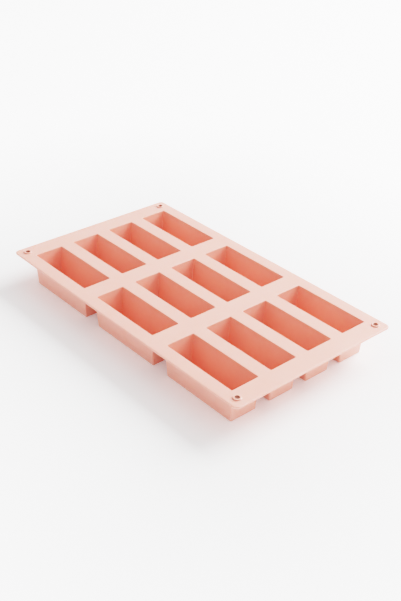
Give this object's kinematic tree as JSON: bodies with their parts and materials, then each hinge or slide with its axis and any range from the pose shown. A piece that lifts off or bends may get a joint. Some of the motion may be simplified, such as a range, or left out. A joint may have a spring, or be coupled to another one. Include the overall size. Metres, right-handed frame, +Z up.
{
  "type": "soap loaf mould",
  "caption": "Soft silicone tray with rows of deep rectangular cups for casting soap bars, and a raised ring round a hole in each corner of its flat deck.",
  "frame": {"origin": "middle of the tray in plan, on the plane that the cups stand on", "axes": "+X along the tray's length, +Y across it, +Z up out of the cavities' mouths"},
  "size_m": [0.3, 0.175, 0.0315],
  "materials": {
    "silicone": "matte, slightly translucent"
  },
  "bodies": {
    "root": {"deck": "silicone", "bar_cup_a1": "silicone", "bar_cup_a2": "silicone", "bar_cup_a3": "silicone", "bar_cup_a4": "silicone", "bar_cup_b1": "silicone", "bar_cup_b2": "silicone", "bar_cup_b3": "silicone", "bar_cup_b4": "silicone", "bar_cup_c1": "silicone", "bar_cup_c2": "silicone", "bar_cup_c3": "silicone", "bar_cup_c4": "silicone", "corner_ring_left_front": "silicone", "corner_ring_right_front": "silicone", "corner_ring_left_back": "silicone", "corner_ring_right_back": "silicone"}
  },
  "joints": []
}
